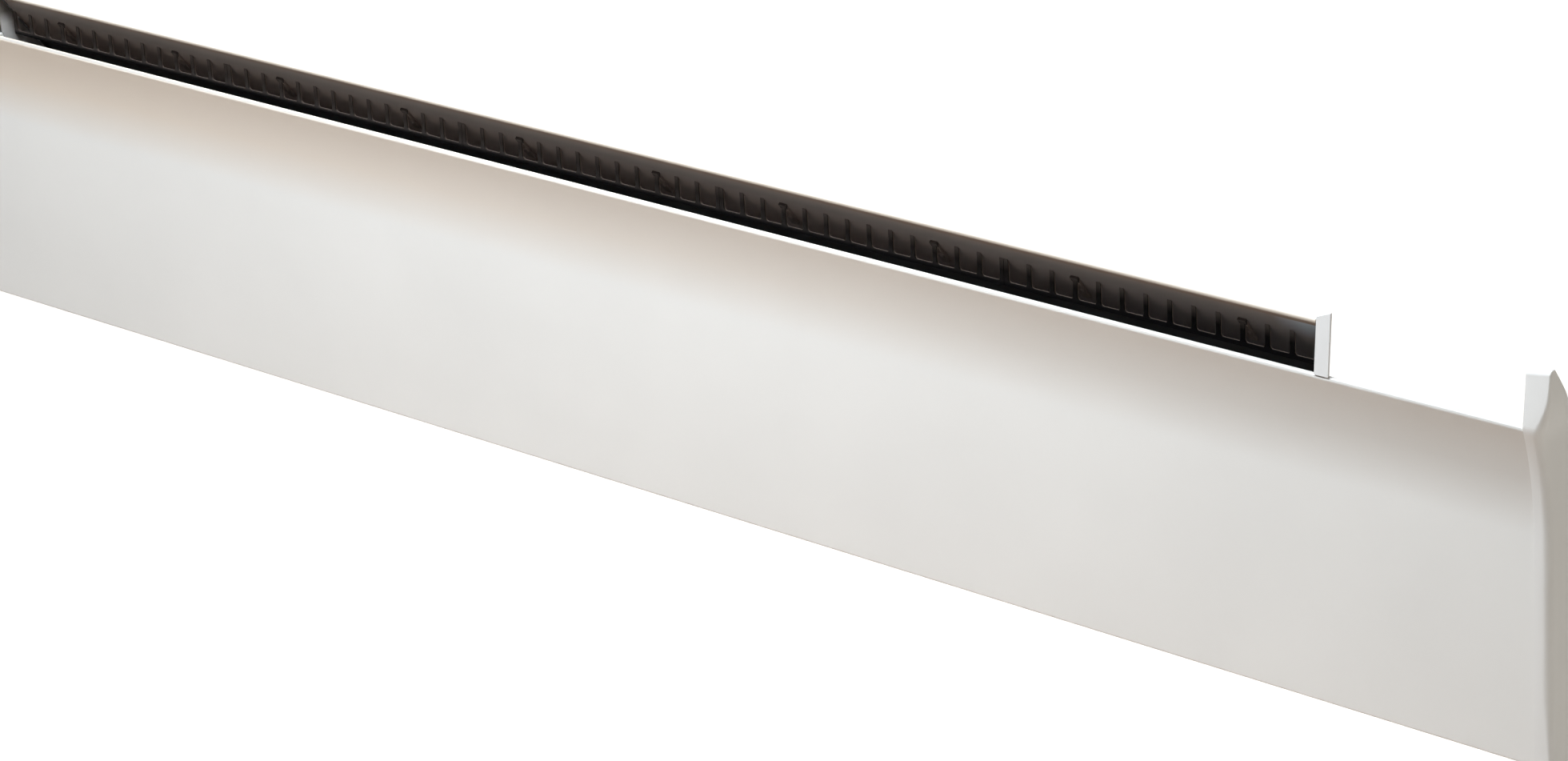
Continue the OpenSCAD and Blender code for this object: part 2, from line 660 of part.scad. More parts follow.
module element_bracket(i) {
    x = bracket_x[i];
    foot_x = bracket_side[i] > 0 ? x : x + bracket_sheet - bracket_foot;
    y0 = element_y - bush_r - 6;
    y1 = shield_front - touch;
    z0 = element_z - 23;
    hung() color([0.7, 0.71, 0.72]) difference() {
        union() {
            translate([x, y0, element_z - bush_r - 6]) cube([bracket_sheet, y1 - y0, 2 * bush_r + 12]);
            translate([x, y1 - 10, z0]) cube([bracket_sheet, 10, 46]);
            translate([foot_x, y1 - bracket_sheet, z0]) cube([bracket_foot, bracket_sheet, 46]);
        }
        translate([x - 1, element_y, element_z]) rotate([0, 90, 0])
            cylinder(h = bracket_sheet + 2, r = bush_r + touch);
        for (z = bracket_foot_z) translate([foot_mid(i), y1 - bracket_sheet - 1, z]) rotate([-90, 0, 0])
            cylinder(h = bracket_sheet + 2, r = casing_screw_r + touch);
    }
}

module element_bracket_left() {
    element_bracket(0);
}

module element_bracket_middle() {
    element_bracket(1);
}

module element_bracket_right() {
    element_bracket(2);
}

cutout_x = bracket_x[2] - 40;
cutout_z = element_z + 31;
cutout_r = 8;

module thermal_cutout() {
    hung() color([0.25, 0.22, 0.2]) translate([cutout_x, shield_front - touch, cutout_z])
        rotate([90, 0, 0]) {
            translate([-12, -4, 0]) cube([24, 8, 0.8]);
            cylinder(h = 5, r = cutout_r);
            cylinder(h = 9, r = cutout_r - 2);
            for (x = [-4, 4]) translate([x - 1.5, -0.4, 8]) cube([3, 0.8, 7]);
        }
}

// Controls
deck_y0 = face_y(deck_z) + panel_t + 0.8;

module deck_plan() {
    difference() {
        translate([slot_x1 - depth, deck_y0])
            square([half - slot_x1 + depth - part_gap, inner_back - part_gap - deck_y0]);
        difference() {
            translate([slot_x1 - 2 * depth, -2 * depth]) square([4 * depth, 4 * depth]);
            bay_plan(-cheek_t - part_gap);
        }
    }
}

switch_w = 13;
switch_l = 19;
pipe_r = 2.4;
deck_screw_at = [[housing_x0 + 5, housing_y0 + 5], [housing_x1 - 5, housing_y1 - 5],
    [housing_x0 + 5, housing_y1 - 5], [housing_x1 - 5, housing_y0 + 5]];
deck_screw_r = 1.5;

module control_deck() {
    hung() color([0.88, 0.88, 0.87]) translate([0, 0, deck_under]) linear_extrude(deck_t) difference() {
        deck_plan();
        translate([knob_x, control_y]) circle(spindle_r + 1);
        translate([switch_x - switch_w / 2 - touch, control_y - switch_l / 2 - touch])
            square([switch_w + 2 * touch, switch_l + 2 * touch]);
        translate([pipe_x, pipe_y]) circle(pipe_r + touch);
        for (p = deck_screw_at) translate(p) circle(deck_screw_r + touch);
    }
}

module control_housing() {
    w = housing_wall;
    size = [housing_x1 - housing_x0, housing_y1 - housing_y0, deck_under - touch - housing_z0];
    hung() color([0.15, 0.15, 0.16]) difference() {
        union() {
            difference() {
                translate([housing_x0, housing_y0, housing_z0]) cube(size);
                translate([housing_x0 + w, housing_y0 + w, housing_z0 + w])
                    cube([size[0] - 2 * w, size[1] - 2 * w, size[2]]);
            }
            // corner posts carry the board and take the deck screws above it
            for (p = deck_screw_at) {
                translate([p[0] - 4, p[1] - 4, housing_z0]) cube([8, 8, board_z - touch - housing_z0]);
                translate([p[0], p[1], housing_z0]) cylinder(h = size[2], r = 3.4);
            }
            for (p = housing_screw_at) translate([p[0], housing_y1 + 1.5, p[1]]) rotate([90, 0, 0])
                cylinder(h = 7, r = 5);
        }
        for (p = deck_screw_at) translate([p[0], p[1], deck_under - 14])
            cylinder(h = 20, r = deck_screw_r + 0.05);
        for (p = housing_screw_at) translate([p[0], housing_y1 + 2, p[1]]) rotate([90, 0, 0])
            cylinder(h = 9, r = casing_screw_r + 0.05);
        // the leads come up through the floor
        translate([pass_x - pass_w / 2 + 3, housing_y0 + pass_y0, housing_z0 - 1])
            cube([pass_w, pass_d, w + 2]);
    }
}

module control_board() {
    g = 0.5;
    hung() color([0.1, 0.35, 0.2]) translate([0, 0, board_z]) linear_extrude(board_t) difference() {
        translate([housing_x0 + housing_wall + g, housing_y0 + housing_wall + g])
            square([housing_x1 - housing_x0 - 2 * housing_wall - 2 * g,
                housing_y1 - housing_y0 - 2 * housing_wall - 2 * g]);
        for (p = deck_screw_at) translate(p) circle(3.8);
    }
}

board_top = board_z + board_t + touch;

module relay() {
    hung() color([0.1, 0.1, 0.12]) translate([housing_x0 + 10, housing_y0 + 17, board_top])
        cube([10, 20, 15]);
}

module potentiometer() {
    hung() color([0.3, 0.32, 0.35]) translate([knob_x, control_y, board_top]) difference() {
        union() {
            translate([-8, -8, 0]) cube([16, 16, 7]);
            cylinder(h = 14, r = spindle_r + 1.8);
        }
        translate([0, 0, 1.5]) cylinder(h = 20, r = spindle_r + run_gap);
    }
}

spindle_top = deck_z + knob_gap + knob_h - 3.2;

module knob_spindle() {
    z0 = board_top + 1.8;
    hung() color([0.8, 0.8, 0.8]) translate([knob_x, control_y, z0])
        cylinder(h = spindle_top - 0.3 - z0, r = spindle_r);
}

module thermostat_knob() {
    skirt = 2.2;
    grip_r = knob_r - 1.2;
    flutes = 24;
    hung() color([0.93, 0.93, 0.92]) translate([knob_x, control_y, deck_z + knob_gap]) difference() {
        union() {
            cylinder(h = skirt, r = knob_r);
            linear_extrude(knob_h - 0.8) difference() {
                circle(grip_r);
                for (i = [0:flutes - 1]) rotate(360 / flutes * (i + 0.5))
                    translate([grip_r + 0.4, 0]) circle(1, $fn = 24);
            }
            cylinder(h = knob_h, r = grip_r - 1.4);
        }
        translate([0, 0, -1]) cylinder(h = spindle_top - deck_z - knob_gap + 1, r = spindle_r + 0.03);
        translate([0, 0, -1]) difference() {
            cylinder(h = knob_h - 2, r = knob_r - 3.6);
            cylinder(h = knob_h, r = spindle_r + 2.4);
        }
        translate([-0.6, knob_r - 10, knob_h - 0.6]) cube([1.2, 6, 1]);
    }
}

module switch_body() {
    bezel = 1.3;
    depth_below = 18;
    hung() color([0.12, 0.12, 0.13]) translate([switch_x, control_y, 0]) difference() {
        union() {
            translate([-switch_w / 2 - bezel, -switch_l / 2 - bezel, deck_z + touch])
                cube([switch_w + 2 * bezel, switch_l + 2 * bezel, 1.3]);
            translate([-switch_w / 2, -switch_l / 2, deck_z - depth_below])
                cube([switch_w, switch_l, depth_below + 1]);
            for (y = [-5, 5]) translate([-2.4, y - 0.4, deck_z - depth_below - 6]) cube([4.8, 0.8, 7]);
        }
        translate([-rocker_w / 2 - 0.2, -rocker_l / 2 - 0.9, deck_z - depth_below + 2])
            cube([rocker_w + 0.4, rocker_l + 1.8, depth_below]);
        translate([-rocker_w / 2 - 1.1, 0, pivot_z]) rotate([0, 90, 0])
            cylinder(h = rocker_w + 2.2, r = rocker_pin_r + run_gap);
    }
}

rocker_w = 10.2;
rocker_l = 14.8;
rocker_pin_r = 1.2;

module power_rocker() {
    a = rocker_l / 2;
    hung() color([0.85, 0.1, 0.08]) translate([switch_x, control_y, pivot_z])
        rotate([-rocker_travel / 2, 0, 0]) {
            translate([-rocker_w / 2, 0, 0]) rotate([90, 0, 90]) linear_extrude(rocker_w)
                polygon([[-3, -4], [3, -4], [a, 1.2], [a, 5.2], [a - 0.8, 5.5], [0, 4], [0.8 - a, 5.5],
                    [-a, 5.2], [-a, 1.2]]);
            translate([-rocker_w / 2 - 0.9, 0, 0]) rotate([0, 90, 0])
                cylinder(h = rocker_w + 1.8, r = rocker_pin_r);
        }
}

module indicator_led() {
    hung() color([0.9, 0.6, 0.1]) translate([pipe_x, pipe_y, board_top]) {
        cylinder(h = 2.6, r = 1.5);
        translate([0, 0, 2.6]) sphere(1.5);
    }
}

module light_pipe() {
    z0 = board_top + 4.4;
    hung() color([0.95, 0.5, 0.2]) translate([pipe_x, pipe_y, z0]) {
        cylinder(h = deck_z + 0.3 - z0, r = pipe_r);
        translate([0, 0, deck_under - touch - 1.2 - z0]) cylinder(h = 1.2, r = pipe_r + 1.2);
        translate([0, 0, deck_z + 0.3 - z0]) intersection() {
            sphere(pipe_r);
            translate([0, 0, pipe_r]) cube(2 * pipe_r, center = true);
        }
    }
}

sensor_x = half - 18;
module room_sensor() {
    z = panel_t + inlet_t + 2 * touch;
    hung() color([0.2, 0.2, 0.2]) translate([sensor_x, control_y, z]) {
        cylinder(h = 2, r = 6);
        cylinder(h = 12, r = 3);
        translate([0, 0, 12]) sphere(3);
    }
}

block_x = half - 74;
block_z = housing_z0 - 45;
block_size = [36, 17, 20];
block_ways = [7, 18, 29];
lead_in = 3.2;
module terminal_block() {
    y1 = inner_back - touch;
    hung() color([0.94, 0.93, 0.88]) translate([block_x, y1 - block_size[1], block_z]) difference() {
        union() {
            cube(block_size);
            for (x = block_ways) translate([x - 4, 0, block_size[2] - 5]) cube([8, 6, 8]);
        }
        for (x = block_ways) {
            translate([x, -1, 9]) rotate([-90, 0, 0]) cylinder(h = 6, r = 2.4);
            translate([x, 8, -1]) cylinder(h = 8, r = 2);
            translate([x, lead_in, block_size[2] - 4]) cylinder(h = 9, r = lead_r + 0.3);
        }
    }
}

gland_x = half - 24;
gland_z = 42;
gland_r = 8;
gland_bore = 3.6;
module cable_gland() {
    hung() color([0.1, 0.1, 0.1]) translate([gland_x, 0, gland_z]) rotate([90, 0, 0]) difference() {
        union() {
            translate([0, 0, wall_gap - 11]) cylinder(h = 11 - touch, r = gland_r + 3.5, $fn = 6);
            translate([0, 0, wall_gap - 11.5]) cylinder(h = 22, r = gland_r);
            translate([0, 0, wall_gap + casing_t + touch]) cylinder(h = 5, r = gland_r + 3.5, $fn = 6);
        }
        translate([0, 0, -1]) cylinder(h = 40, r = gland_bore);
    }
}

lead_r = 1.1;
lead_bend = 3;
function way(p, i) = unit((i > 0 ? unit(p[i] - p[i - 1]) : [0, 0, 0])
    + (i < len(p) - 1 ? unit(p[i + 1] - p[i]) : [0, 0, 0]));
function squared(v, t) = unit(v - (v * t) * t);
function side_of(p, i) = squared(i == 0 ? [0.31, 0.83, 0.47] : side_of(p, i - 1), way(p, i));

// A lead that is held all its way: straight runs with round bends
module lead(stops, sides = 8) {
    p = rounded(stops, [for (i = stops) lead_bend], 3);
    n = len(p);
    rings = [for (i = [0:n - 1]) let (t = way(p, i), u = side_of(p, i), v = cross(t, u))
        for (k = [0:sides - 1]) p[i] + lead_r * (cos(360 * k / sides) * u + sin(360 * k / sides) * v)];
    polyhedron(points = rings, faces = concat([[for (k = [0:sides - 1]) k]],
        [[for (k = [sides - 1:-1:0]) (n - 1) * sides + k]],
        [for (i = [0:n - 2], k = [0:sides - 1]) let (j = (k + 1) % sides)
            each [[i * sides + k, (i + 1) * sides + k, (i + 1) * sides + j],
                [i * sides + k, (i + 1) * sides + j, i * sides + j]]]));
}

lead_floor = block_z + block_size[2] - 4;
lead_y = inner_back - touch - block_size[1] + lead_in;
route_z = housing_z0 - 7;
pass_x = housing_x0 + 40;
pass_w = 34;
pass_d = 20;
pass_y0 = 12;
cutout_way = housing_y0 + pass_y0 + 6;
live_way = housing_y0 + pass_y0 + 12;

module live_lead() {
    x = block_x + block_ways[0];
    hung() color([0.45, 0.28, 0.16]) lead([[x, lead_y, lead_floor], [x, lead_y, route_z],
        [pass_x - 8, live_way, route_z + 3], [pass_x - 8, live_way, board_z - touch]]);
}

// The two leads from the element go under the housing
pin_end = rod_x1 + pin_len + 0.2;
dip_x = housing_x0 - 12;

module cutout_lead() {
    y = element_y + pin_gap;
    hung() color([0.45, 0.28, 0.16]) lead([[pin_end, y, element_z], [dip_x - 8, y + 1, element_z],
        [dip_x, y + 1, route_z], [pass_x, cutout_way, route_z],
        [pass_x, cutout_way, board_z - touch]]);
}

module neutral_lead() {
    x = block_x + block_ways[1];
    y = element_y - pin_gap;
    hung() color([0.2, 0.4, 0.7]) lead([[pin_end, y, element_z], [dip_x - 8, y - 2, element_z - 2],
        [dip_x, y - 2, route_z - 8], [x, lead_y, route_z - 8], [x, lead_y, lead_floor]]);
}

module earth_lead() {
    x = block_x + block_ways[2];
    y = inner_back - touch - lead_r - 0.4;
    hung() color([0.5, 0.65, 0.2]) lead([[x, lead_y, lead_floor], [x, lead_y, route_z - 4],
        [x, y, route_z], [block_x - 12, y, route_z], [block_x - 12, y, 22]]);
}

bumper_stem_r = 3;
module wall_bumpers() {
    hung() color([0.12, 0.12, 0.12]) for (x = [-bumper_x, bumper_x]) translate([x, -part_gap, bumper_z])
        rotate([90, 0, 0]) {
            cylinder(h = 2, r1 = 6.5, r2 = 8);
            translate([0, 0, 2]) cylinder(h = wall_gap - part_gap - touch - 2, r = 8);
            cylinder(h = wall_gap + casing_t - part_gap + 0.4, r = bumper_stem_r);
            translate([0, 0, wall_gap + casing_t - part_gap + touch]) cylinder(h = 3, r1 = 4.6, r2 = 2.6);
        }
}

module pan_screw(shank, r) {
    translate([0, 0, -shank]) cylinder(h = shank + 0.5, r = r, $fn = 24);
    difference() {
        cylinder(h = 1.6, r1 = 2.1 * r, r2 = 1.5 * r, $fn = 24);
        for (a = [0, 90]) rotate(a) translate([-r, -0.3, 1]) cube([2 * r, 0.6, 1]);
    }
}

module panel_screws() {
    hung() color([0.7, 0.7, 0.72])
        for (x = foot_screw_x, y = foot_rows) translate([x, y, -touch]) rotate([180, 0, 0])
            pan_screw(panel_t + inlet_t + 3, foot_hole_r - touch);
}

module casing_screws() {
    hung() color([0.7, 0.7, 0.72]) {
        for (p = shield_screw_at) translate([p[0], back_y + touch, p[1]]) rotate([-90, 0, 0])
            pan_screw(casing_t + shield_gap + shield_t + bracket_sheet + 3, casing_screw_r);
        for (p = housing_screw_at) translate([p[0], back_y + touch, p[1]]) rotate([-90, 0, 0])
            pan_screw(casing_t + 7, casing_screw_r);
    }
}

module deck_screws() {
    hung() color([0.75, 0.75, 0.77]) for (p = deck_screw_at) translate([p[0], p[1], deck_z + touch])
        pan_screw(deck_t + 9, deck_screw_r);
}

// Wall bracket: a folded rail with two hooks that reach through the casing
module wall_bracket() {
    z0 = screw_mid_z - bracket_h / 2;
    tip_y = inner_back - hook_reach;
    hung() color([0.72, 0.73, 0.74]) difference() {
        union() {
            along(-bracket_len / 2, bracket_len / 2) polygon(sheet(rounded([[flange_y, z0 + 6],
                [flange_y, z0], [0, z0], [0, bracket_top], [flange_y, bracket_top],
                [flange_y, bracket_top - 6]], [0, 2, 2, 2, 2, 0]), bracket_t));
            for (x = [-hook_x, hook_x]) {
                translate([x - hook_w / 2, tip_y, bracket_top - hook_t])
                    cube([hook_w, -tip_y + flange_y + 3, hook_t]);
                translate([x - hook_w / 2, tip_y, bracket_top - hook_t])
                    cube([hook_w, hook_t, hook_tip + hook_t]);
            }
        }
        for (x = [-screw_dx / 2, screw_dx / 2], z = [-screw_dz / 2, screw_dz / 2])
            translate([x, -bracket_t - 1, screw_mid_z + z]) rotate([-90, 0, 0])
                cylinder(h = bracket_t + 2, r = screw_r);
        for (x = [-bracket_len / 4, 0, bracket_len / 4])
            translate([x - 25, -bracket_t - 1, screw_mid_z - 12]) cube([50, bracket_t + 2, 24]);
    }
}

spring_w = 15;
spring_t = 0.6;
// Leaf springs under the bracket steady the casing's back
module retaining_springs() {
    z0 = screw_mid_z - bracket_h / 2;
    hung() color([0.6, 0.62, 0.65]) for (x = [-spring_x, spring_x])
        along(x - spring_w / 2, x + spring_w / 2) polygon(sheet(rounded([[flange_y + 11, z0 - touch],
            [flange_y + 2, z0 - touch], [back_y + part_gap, z0 - 14], [back_y + 8, z0 - 26]],
            [0, 2, 5, 0]), spring_t));
}

wall_bracket();
retaining_springs();
front_panel();
rear_casing();
hood_liner();
heat_shield();
shield_spacers();
outlet_grille(0);  // outlet_grille_1
outlet_grille(1);  // outlet_grille_2
outlet_grille(2);  // outlet_grille_3
outlet_grille(3);  // outlet_grille_4
outlet_grille(4);  // outlet_grille_5
outlet_blank();
outlet_post();
air_cheek_left();
air_cheek_right();
end_cap_left();
end_cap_right();
inlet_grille();
element_fins();
element_rod();
element_terminals();
element_bushes();
element_bracket_left();
element_bracket_middle();
element_bracket_right();
thermal_cutout();
control_deck();
control_housing();
control_board();
relay();
potentiometer();
knob_spindle();
thermostat_knob();
switch_body();
power_rocker();
light_pipe();
indicator_led();
room_sensor();
terminal_block();
cable_gland();
live_lead();
cutout_lead();
neutral_lead();
earth_lead();
wall_bumpers();
panel_screws();
casing_screws();
deck_screws();
grille_rivets();
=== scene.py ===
"""Looks of a low wall-hung panel heater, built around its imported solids."""
import json
import math

import bmesh
import bpy
from mathutils import Matrix, Vector


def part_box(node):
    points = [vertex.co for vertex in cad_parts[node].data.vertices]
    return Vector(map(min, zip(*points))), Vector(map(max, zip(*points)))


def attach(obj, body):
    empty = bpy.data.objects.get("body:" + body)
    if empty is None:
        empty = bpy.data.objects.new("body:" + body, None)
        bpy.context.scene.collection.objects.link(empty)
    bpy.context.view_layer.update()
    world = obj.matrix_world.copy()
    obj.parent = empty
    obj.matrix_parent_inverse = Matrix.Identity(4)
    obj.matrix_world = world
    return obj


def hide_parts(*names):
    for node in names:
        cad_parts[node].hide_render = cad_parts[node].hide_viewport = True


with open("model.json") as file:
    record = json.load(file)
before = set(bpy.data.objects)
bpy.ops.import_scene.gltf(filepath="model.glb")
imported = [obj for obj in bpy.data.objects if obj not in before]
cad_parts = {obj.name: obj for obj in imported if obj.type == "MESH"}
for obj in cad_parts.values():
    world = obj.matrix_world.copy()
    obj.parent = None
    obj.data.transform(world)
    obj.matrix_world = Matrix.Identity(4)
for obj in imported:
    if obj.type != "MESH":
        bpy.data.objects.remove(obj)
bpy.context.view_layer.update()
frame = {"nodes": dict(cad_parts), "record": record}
scene = bpy.context.scene

# Camera: solved from the photograph's edges, in metres
CAMERA_AT = Vector((1.6586, -1.8076, 1.0106))
RIGHT = Vector((0.759, 0.649, -0.055)).normalized()
FORWARD = Vector((-0.615, 0.686, -0.388)).normalized()
FOCAL_PX = 5575
IMAGE_W = 1960
SENSOR_MM = 36.0

UP = RIGHT.cross(FORWARD).normalized()
camera = bpy.data.objects.new("camera", bpy.data.cameras.new("camera"))
camera.data.sensor_width = SENSOR_MM
camera.data.lens = FOCAL_PX / IMAGE_W * SENSOR_MM
camera.data.clip_start = 0.05
camera.data.clip_end = 60
back = -FORWARD
camera.matrix_world = Matrix((
    (RIGHT.x, UP.x, back.x, CAMERA_AT.x),
    (RIGHT.y, UP.y, back.y, CAMERA_AT.y),
    (RIGHT.z, UP.z, back.z, CAMERA_AT.z),
    (0, 0, 0, 1)))
scene.collection.objects.link(camera)
scene.camera = camera
scene.view_settings.view_transform = "Standard"

# Colour sockets of the mix node, which has sockets of one name for each type of data
MIX_FIRST, MIX_SECOND, MIX_RESULT = 6, 7, 2


class Shader:
    """A material and short ways to add its nodes."""

    def __init__(self, name):
        self.mat = bpy.data.materials.new(name)
        self.mat.use_nodes = True
        self.tree = self.mat.node_tree
        self.bsdf = self.tree.nodes["Principled BSDF"]
        self.coords = self.tree.nodes.new("ShaderNodeTexCoord").outputs["Object"]

    def set(self, **values):
        for key, value in values.items():
            self.bsdf.inputs[key.replace("_", " ")].default_value = value

    def node(self, kind, **props):
        n = self.tree.nodes.new(kind)
        for key, value in props.items():
            setattr(n, key, value)
        return n

    def link(self, a, b):
        self.tree.links.new(a, b)

    def stretched(self, scale):
        m = self.node("ShaderNodeMapping")
        m.inputs["Scale"].default_value = scale
        self.link(self.coords, m.inputs["Vector"])
        return m.outputs["Vector"]

    def noise(self, scale, detail=3.0, rough=0.5, stretch=None):
        n = self.node("ShaderNodeTexNoise")
        self.link(self.stretched(stretch) if stretch else self.coords, n.inputs["Vector"])
        n.inputs["Scale"].default_value = scale
        n.inputs["Detail"].default_value = detail
        n.inputs["Roughness"].default_value = rough
        return n.outputs["Fac"]

    def cells(self, scale, stretch=None):
        n = self.node("ShaderNodeTexVoronoi")
        self.link(self.stretched(stretch) if stretch else self.coords, n.inputs["Vector"])
        n.inputs["Scale"].default_value = scale
        return n

    def ramp(self, value, stops):
        r = self.node("ShaderNodeValToRGB")
        while len(r.color_ramp.elements) < len(stops):
            r.color_ramp.elements.new(0.5)
        for element, (at, colour) in zip(r.color_ramp.elements, stops):
            element.position = at
            element.color = (*colour, 1)
        self.link(value, r.inputs["Fac"])
        return r.outputs["Color"]

    def varied(self, value, colour, spread, start=0.3, end=0.7):
        """The colour, from a little darker to a little lighter."""
        return self.ramp(value, [(start, shade(colour, 1 - spread)), (end, shade(colour, 1 + spread))])

    def span(self, value, low, high, start=0.0, end=1.0):
        """Takes a value from start to end over to low to high."""
        m = self.node("ShaderNodeMapRange")
        m.inputs["From Min"].default_value = start
        m.inputs["From Max"].default_value = end
        m.inputs["To Min"].default_value = low
        m.inputs["To Max"].default_value = high
        self.link(value, m.inputs["Value"])
        return m.outputs["Result"]

    def along(self, axis, start, end):
        """0 to 1 between two places on an axis of the object, in metres."""
        apart = self.node("ShaderNodeSeparateXYZ")
        self.link(self.coords, apart.inputs["Vector"])
        return self.span(apart.outputs[axis], 0.0, 1.0, start, end)

    def toned(self, colour, tone_spans):
        """Mixes tones into a colour; each is a tone and its spans on some axes, most of them painted
        light or shade.
        """
        for tone, spans in tone_spans:
            mask = None
            for axis, (start, end) in spans.items():
                part = self.along(axis, start, end)
                if mask:
                    both = self.node("ShaderNodeMath", operation="MULTIPLY")
                    self.link(mask, both.inputs[0])
                    self.link(part, both.inputs[1])
                    part = both.outputs["Value"]
                mask = part
            mix = self.node("ShaderNodeMix", data_type="RGBA")
            self.link(mask, mix.inputs["Factor"])
            self.link(colour, mix.inputs[MIX_FIRST])
            mix.inputs[MIX_SECOND].default_value = (*tone, 1)
            colour = mix.outputs[MIX_RESULT]
        return colour

    def bump(self, height, depth_mm, before=None):
        b = self.node("ShaderNodeBump")
        b.inputs["Strength"].default_value = 1.0
        b.inputs["Distance"].default_value = depth_mm / 1000
        self.link(height, b.inputs["Height"])
        if before:
            self.link(before, b.inputs["Normal"])
        return b.outputs["Normal"]

    def done(self, colour=None, rough=None, normal=None):
        for socket, key in ((colour, "Base Color"), (rough, "Roughness"), (normal, "Normal")):
            if socket:
                self.link(socket, self.bsdf.inputs[key])
        return self.mat


def shade(colour, factor):
    return tuple(min(c * factor, 1.0) for c in colour)


def powder_coat(name, colour, rough=0.42, peel_mm=0.012, spread=0.02, specular=0.4, tone_spans=()):
    """Powder coat on sheet steel: fine orange peel, slight cloudiness."""
    s = Shader(name)
    cloud = s.noise(9, 2)
    peel = s.noise(700, 2, 0.4)
    fine = s.noise(2600, 2, 0.5)
    s.set(Specular_IOR_Level=specular)
    tone = s.toned(s.varied(cloud, colour, spread), tone_spans)
    normal = s.bump(fine, peel_mm * 0.4, s.bump(peel, peel_mm))
    return s.done(tone, s.span(cloud, rough - 0.03, rough + 0.03), normal)


def moulded(name, colour, rough=0.5, grain_mm=0.02, grain=1500, specular=0.4):
    """Injection moulded plastic with a fine spark grain."""
    s = Shader(name)
    cloud = s.noise(14, 2)
    pits = s.cells(grain).outputs["Distance"]
    fine = s.noise(grain * 1.7, 3, 0.6)
    s.set(Specular_IOR_Level=specular)
    normal = s.bump(fine, grain_mm * 0.5, s.bump(pits, grain_mm))
    return s.done(s.varied(cloud, colour, 0.015), s.span(fine, rough - 0.04, rough + 0.04), normal)


def drawn_metal(name, colour, rough=0.32, stretch=(1, 60, 60), scale=30):
    """Metal with drawing or rolling lines along one axis."""
    s = Shader(name)
    lines = s.noise(scale, 4, 0.6, stretch)
    cloud = s.noise(25, 3)
    s.set(Metallic=1.0)
    rough_out = s.span(cloud, rough - 0.06, rough + 0.08)
    return s.done(s.varied(lines, colour, 0.08, 0.25, 0.75), rough_out, s.bump(lines, 0.01))


def galvanised(name, colour, rough=0.38):
    """Zinc coated sheet with its pale crystals."""
    s = Shader(name)
    crystals = s.cells(110, (1, 1, 1.4))
    cloud = s.noise(35, 4)
    tone = s.span(crystals.outputs["Color"], 0.0, 1.0)
    colour_out = s.ramp(tone, [(0.0, shade(colour, 0.82)), (0.5, colour), (1.0, shade(colour, 1.15))])
    s.set(Metallic=0.9)
    rough_out = s.span(tone, rough - 0.08, rough + 0.1)
    return s.done(colour_out, rough_out, s.bump(cloud, 0.02))


def gloss(name, colour, rough=0.12, specular=0.5, transmission=0.0):
    """Polished plastic with faint flow marks."""
    s = Shader(name)
    flow = s.noise(40, 2, 0.4, (1, 3, 1))
    s.set(Specular_IOR_Level=specular, Transmission_Weight=transmission)
    return s.done(s.varied(flow, colour, 0.05), s.span(flow, rough, rough + 0.06), s.bump(flow, 0.01))


def circuit(name, colour):
    """Lacquered board with darker gaps between its copper lanes."""
    s = Shader(name)
    lanes = s.node("ShaderNodeTexBrick")
    s.link(s.coords, lanes.inputs["Vector"])
    lanes.inputs["Scale"].default_value = 160
    lanes.inputs["Color1"].default_value = (*shade(colour, 1.25), 1)
    lanes.inputs["Color2"].default_value = (*colour, 1)
    lanes.inputs["Mortar"].default_value = (*shade(colour, 0.55), 1)
    lanes.inputs["Mortar Size"].default_value = 0.03
    s.set(Roughness=0.25, Specular_IOR_Level=0.5)
    return s.done(lanes.outputs["Color"], None, s.bump(lanes.outputs["Fac"], -0.03))


def unglazed(name, colour):
    """Unglazed ceramic: dry, speckled and slightly pitted."""
    s = Shader(name)
    specks = s.noise(900, 4, 0.7)
    colour_out = s.ramp(specks, [(0.25, shade(colour, 0.86)), (0.5, colour), (0.8, shade(colour, 1.04))])
    return s.done(colour_out, s.span(specks, 0.7, 0.85), s.bump(specks, 0.03))


def striped(name, colour, stripe):
    """The earth lead's two colours, side by side along it."""
    s = Shader(name)
    wave = s.node("ShaderNodeTexWave", bands_direction="X")
    s.link(s.coords, wave.inputs["Vector"])
    wave.inputs["Scale"].default_value = 180
    s.set(Roughness=0.4)
    return s.done(s.ramp(wave.outputs["Fac"], [(0.45, colour), (0.55, stripe)]))


# Places on the heater, from the frame, in metres
MM = 0.001
low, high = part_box("front_panel")
FRONT_Y, LIP_Z = low[1], high[2]
RIM_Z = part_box("rear_casing")[1][2]
COMB_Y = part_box("outlet_grille_1")[0][1]
SLOT_END_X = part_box("outlet_post")[0][0]

# Spans over which the tones below come in, from none to full
NOSE_Y = (FRONT_Y + 9 * MM, FRONT_Y + 7 * MM)
FLARE_Z = (LIP_Z - 62 * MM, LIP_Z - 30 * MM)
LIP_BEND_Z = (LIP_Z - 1.5 * MM, LIP_Z - 0.5 * MM)
LIP_BEND_Y = (FRONT_Y + 2 * MM, FRONT_Y + 0.4 * MM)
LIP_FOLD_Z = (LIP_Z - 5 * MM, LIP_Z - 4 * MM)
LIP_FOLD_Y = (FRONT_Y + 3.2 * MM, FRONT_Y + 3.3 * MM)

WHITE = (0.83, 0.83, 0.815)
# Painted shade: the post's white coat, made a little darker
SHADED_POST_WHITE = (0.755, 0.755, 0.752)
LINER = (0.19, 0.164, 0.155)
LIGHTER_BROWN_LINER = (0.40, 0.31, 0.27)
# Painted bluish light and painted deep shade for the liner
BLUISH_PAINTED_LIGHT = (0.31, 0.36, 0.42)
PAINTED_DEEP_SHADE = (0.015, 0.013, 0.014)
COMB = (0.09, 0.077, 0.072)
COMB_BLACK = (0.007, 0.0065, 0.007)
